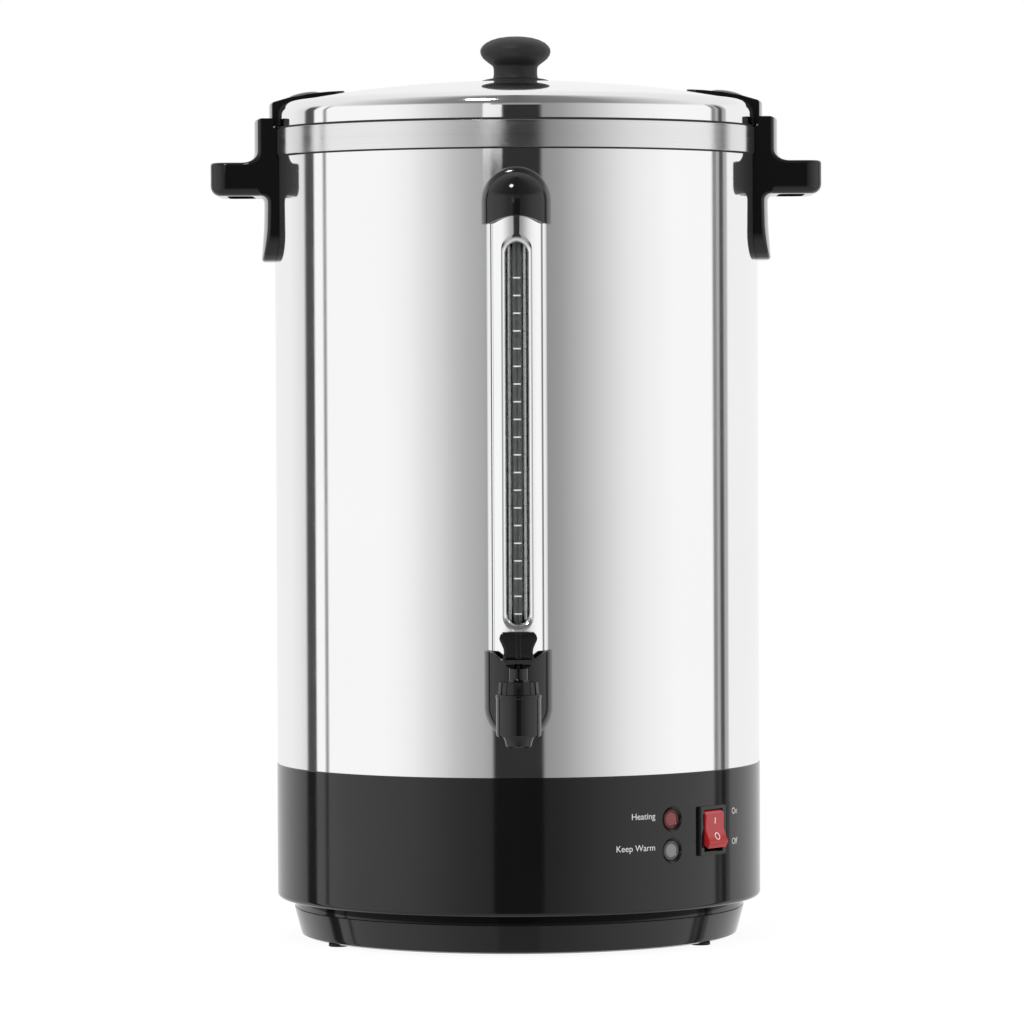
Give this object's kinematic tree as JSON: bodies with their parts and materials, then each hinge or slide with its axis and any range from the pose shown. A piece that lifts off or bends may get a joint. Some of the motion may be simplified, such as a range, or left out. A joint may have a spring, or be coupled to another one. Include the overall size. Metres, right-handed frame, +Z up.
{
  "type": "hot water urn",
  "caption": "Cylindrical catering urn with a polished tank, domed twist-lock lid, side handles, glass level gauge, lever tap and black base with rocker switch and lamps.",
  "frame": {"origin": "on the standing surface, under the tank's vertical axis", "axes": "+Z up along the tank's axis, -Y towards the front with the tap, +X to the right seen from the front"},
  "size_m": [0.3772, 0.3697, 0.5596],
  "materials": {
    "polished_steel": "polished stainless steel",
    "brushed_steel": "brushed stainless steel",
    "bright_steel": "plated steel fastener",
    "black_gloss": "glossy black moulding",
    "black_matt": "matt black moulding",
    "black_rubber": "rubber",
    "silicone": "translucent silicone",
    "brass": "turned brass",
    "gauge_glass": "clear borosilicate tube",
    "red_lens": "translucent red",
    "clear_lens": "translucent clear",
    "ivory_plastic": "heat-resistant moulding",
    "aluminium": "milled",
    "dark_steel": "heat-darkened sheath"
  },
  "bodies": {
    "urn": {"tank_barrel": "polished_steel", "gauge_cover": "polished_steel", "rim_band": "brushed_steel", "tank_floor": "brushed_steel", "centre_stud": "bright_steel", "clamp_nut": "bright_steel", "centre_washer": "bright_steel", "centre_nut": "bright_steel", "handle_screws": "bright_steel", "hood_screw": "bright_steel", "tap_spring": "bright_steel", "base_screws": "bright_steel", "element_clamp": "bright_steel", "handle_left": "black_gloss", "handle_right": "black_gloss", "gauge_hood": "black_gloss", "gauge_housing": "black_gloss", "tap_body": "black_gloss", "tap_bonnet": "black_gloss", "base_skirt": "black_gloss", "base_plinth": "black_gloss", "switch_body": "black_gloss", "cord_gland": "black_matt", "gland_nut": "black_matt", "rubber_feet": "black_rubber", "shank_washer_outer": "black_rubber", "shank_washer_inner": "black_rubber", "tube_seal_upper": "black_rubber", "tube_seal_lower": "black_rubber", "gauge_tee": "brass", "shank_nut": "brass", "gauge_tube": "gauge_glass", "lamp_lens_heat": "red_lens", "lamp_lens_warm": "clear_lens", "lamp_holders": "ivory_plastic", "boil_thermostat": "ivory_plastic", "warm_thermostat": "ivory_plastic", "dry_cutout": "ivory_plastic", "terminal_block": "ivory_plastic", "element_plate": "aluminium", "heating_element": "dark_steel"},
    "lid_seal": {"lid_gasket": "black_rubber"},
    "lid": {"lid": "polished_steel", "lid_knob": "black_matt", "knob_base": "black_matt", "knob_screw": "bright_steel", "knob_washer": "bright_steel", "lid_lug_left": "black_gloss", "lid_lug_right": "black_gloss", "lug_caps": "black_gloss", "lug_screws": "bright_steel"},
    "tap_stem": {"tap_stem": "black_gloss", "valve_cup": "silicone"},
    "tap_lever": {"tap_lever": "black_gloss", "lever_pin": "bright_steel"},
    "switch_rocker": {"switch_rocker": "red_lens"}
  },
  "joints": [
    {"name": "lid_lift", "type": "slide", "parent": "urn", "child": "lid_seal", "axis": [0, 0, 1], "range_m": [0, 0.15]},
    {"name": "lid_twist", "type": "hinge", "parent": "lid_seal", "child": "lid", "pos_m": [0, 0, 0.5], "axis": [0, 0, 1], "range_deg": [-9, 0]},
    {"name": "stem_lift", "type": "slide", "parent": "urn", "child": "tap_stem", "axis": [0, 0, 1], "range_m": [0, 0.004], "stiffness_N_per_m": 20, "springref_m": -0.01, "deforming": ["tap_spring"]},
    {"name": "lever_pull", "type": "hinge", "parent": "tap_stem", "child": "tap_lever", "pos_m": [0, -0.192, 0.18155], "axis": [1, 0, 0], "range_deg": [0, 60]},
    {"name": "switch_rock", "type": "hinge", "parent": "urn", "child": "switch_rocker", "pos_m": [0.11376, -0.09278, 0.0728], "axis": [0.632, 0.7749, 0], "range_deg": [0, 20]}
  ],
  "couplings": [
    {"joint": "lever_pull", "follows": "stem_lift", "rad_per_m": 261.8}
  ]
}
